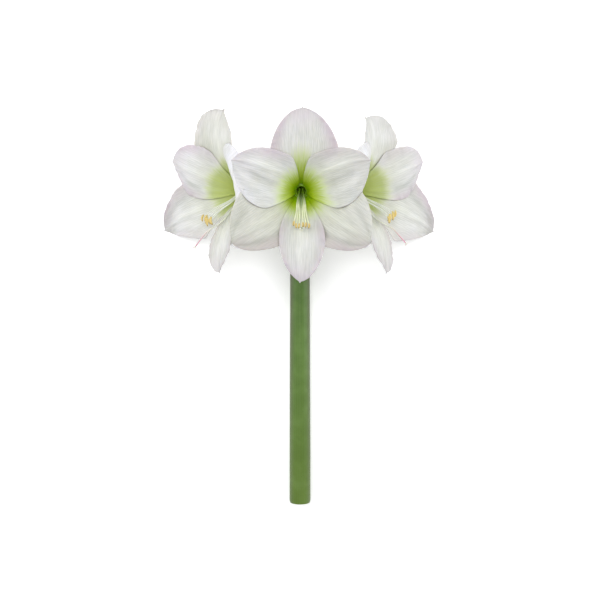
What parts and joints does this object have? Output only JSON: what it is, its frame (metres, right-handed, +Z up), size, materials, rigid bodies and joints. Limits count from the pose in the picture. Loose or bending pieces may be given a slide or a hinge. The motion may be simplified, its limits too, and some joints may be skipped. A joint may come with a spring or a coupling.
{
  "type": "amaryllis stem",
  "caption": "Cut amaryllis stem lying on its back: a hollow green stalk with three open white blooms with green throats.",
  "frame": {"origin": "centre of the footprint, on the surface the flower lies on", "axes": "+Y along the stem from the cut end to the blooms, +Z up, the way the front bloom faces"},
  "size_m": [0.3186, 0.4656, 0.1585],
  "materials": {
    "stem": "smooth waxy green stalk with fine ribs",
    "pedicel": "smooth light green stalk and ovary",
    "tube": "smooth yellow-green petal base",
    "tepal": "soft satin white petal, green towards the throat, faint lilac margins",
    "stamen": "pale green filaments with powdery yellow anthers",
    "style": "pale thread with a pinkish stigma",
    "bract": "dry papery tan"
  },
  "bodies": {
    "root": {"bract_left": "bract", "bract_right": "bract", "front_pedicel": "pedicel", "front_stamens": "stamen", "front_style": "style", "front_tepal_bottom": "tepal", "front_tepal_lower_left": "tepal", "front_tepal_lower_right": "tepal", "front_tepal_top": "tepal", "front_tepal_upper_left": "tepal", "front_tepal_upper_right": "tepal", "front_tube": "tube", "left_pedicel": "pedicel", "left_stamens": "stamen", "left_style": "style", "left_tepal_bottom": "tepal", "left_tepal_lower_left": "tepal", "left_tepal_lower_right": "tepal", "left_tepal_top": "tepal", "left_tepal_upper_left": "tepal", "left_tepal_upper_right": "tepal", "left_tube": "tube", "right_pedicel": "pedicel", "right_stamens": "stamen", "right_style": "style", "right_tepal_bottom": "tepal", "right_tepal_lower_left": "tepal", "right_tepal_lower_right": "tepal", "right_tepal_top": "tepal", "right_tepal_upper_left": "tepal", "right_tepal_upper_right": "tepal", "right_tube": "tube", "stem": "stem"}
  },
  "joints": []
}
